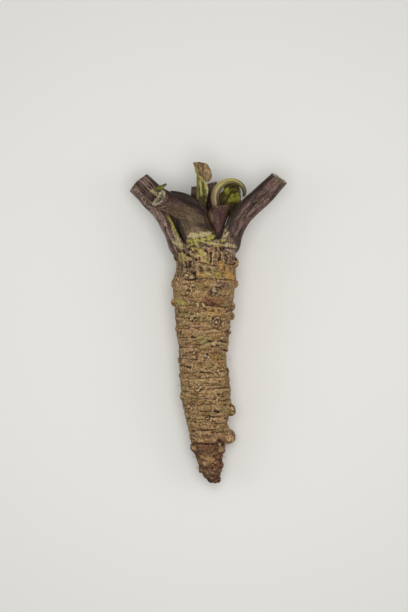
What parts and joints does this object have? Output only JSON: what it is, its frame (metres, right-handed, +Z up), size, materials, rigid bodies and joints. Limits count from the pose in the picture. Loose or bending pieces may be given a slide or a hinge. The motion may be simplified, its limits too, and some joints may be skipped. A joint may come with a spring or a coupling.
{
  "type": "wasabi root",
  "caption": "Fresh wasabi rhizome with trimmed leaf stalks, one curled young stalk and leaf remnants, lying on its side.",
  "frame": {"origin": "on the surface it lies on, under the middle of the whole object's box", "axes": "+Y along the rhizome from its tip to the crown and the leaf stalks, +Z up from the surface"},
  "size_m": [0.087, 0.177, 0.0351],
  "materials": {
    "rhizome skin": "rough corky skin, pitted, matt",
    "leaf stalk": "smooth fibrous stalk, purple-brown, satin",
    "young stalk": "smooth grooved stalk, satin",
    "green leaf": "soft leaf, satin",
    "withered leaf": "dry crinkled leaf, matt"
  },
  "bodies": {
    "root": {"rhizome": "rhizome skin", "stalk_front": "leaf stalk", "stalk_outer_left": "leaf stalk", "stalk_inner_left": "leaf stalk", "stalk_right": "leaf stalk", "stalk_inner_right": "leaf stalk", "stalk_back_left": "leaf stalk", "stalk_back_right": "leaf stalk", "curled_stalk": "young stalk", "folded_leaf": "green leaf", "green_bract": "green leaf", "leaf_scrap": "green leaf", "withered_leaf": "withered leaf"}
  },
  "joints": []
}
